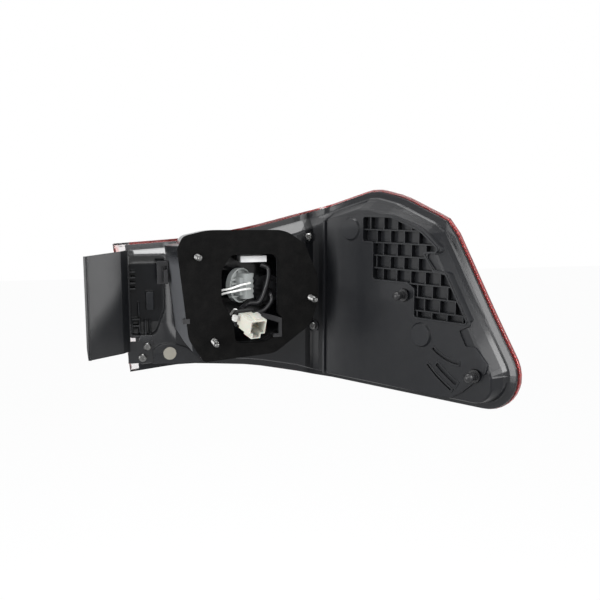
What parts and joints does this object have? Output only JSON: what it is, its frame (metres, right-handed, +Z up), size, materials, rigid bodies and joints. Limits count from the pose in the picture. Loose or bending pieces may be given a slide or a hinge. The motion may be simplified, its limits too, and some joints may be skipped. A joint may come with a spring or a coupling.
{
  "type": "tail light cluster",
  "caption": "Wraparound tail lamp shown from the body side: black back shell with a ribbed wing, studded tower with foam seal, bulb holders and plug, red lens round the rim.",
  "frame": {"origin": "axis of the upper left stud at the outer face of the foam gasket", "axes": "-Y is the way the studs point, into the car body; +X runs right towards the wing as pictured; +Z is up"},
  "size_m": [0.3962, 0.2537, 0.2148],
  "materials": {
    "housing": "satin black moulded plastic",
    "gloss_black": "glossy black moulded plastic",
    "foam": "matt closed-cell foam",
    "red_lens": "transparent red acrylic",
    "clear_lens": "transparent clear acrylic",
    "bond": "butyl sealant",
    "zinc": "zinc plated steel",
    "pin_black": "black acetal",
    "vent": "pale felt membrane",
    "grey_plastic": "light grey glass-filled plastic",
    "black_plastic": "black plastic",
    "seal": "silicone rubber",
    "bulb_glass": "clear glass capsule",
    "amber_glass": "amber glass capsule",
    "reflector": "aluminised plastic",
    "bezel": "dark metallised trim",
    "board": "green circuit board",
    "led": "light source package",
    "white_plastic": "off-white plastic",
    "terminal": "tinned brass",
    "wire_white": "white insulation",
    "wire_black": "black sleeve"
  },
  "bodies": {
    "root": {"housing": "housing", "red_lens": "red_lens", "end_window": "clear_lens", "reverse_window": "clear_lens", "lens_bond": "bond", "foam_gasket": "foam", "mounting_studs": "zinc", "ball_pins": "pin_black", "housing_screws": "zinc", "side_flange": "gloss_black", "flange_screws": "zinc", "vent_patch": "vent", "gasket_clip": "black_plastic", "retainer_clip": "housing", "reverse_bulb_holder": "grey_plastic", "reverse_seal": "seal", "reverse_bulb": "bulb_glass", "turn_bulb_holder": "black_plastic", "turn_seal": "seal", "turn_bulb": "amber_glass", "reverse_reflector": "reflector", "turn_reflector": "reflector", "inner_bezel": "bezel", "led_board": "board", "leds": "led", "led_bezel": "reflector", "reflex_reflector": "red_lens", "led_plug": "white_plastic", "connector_housing": "white_plastic", "connector_terminals": "terminal", "connector_lock": "grey_plastic", "connector_bracket": "black_plastic", "holder_wires": "wire_white", "harness_sleeve": "wire_black"}
  },
  "joints": []
}
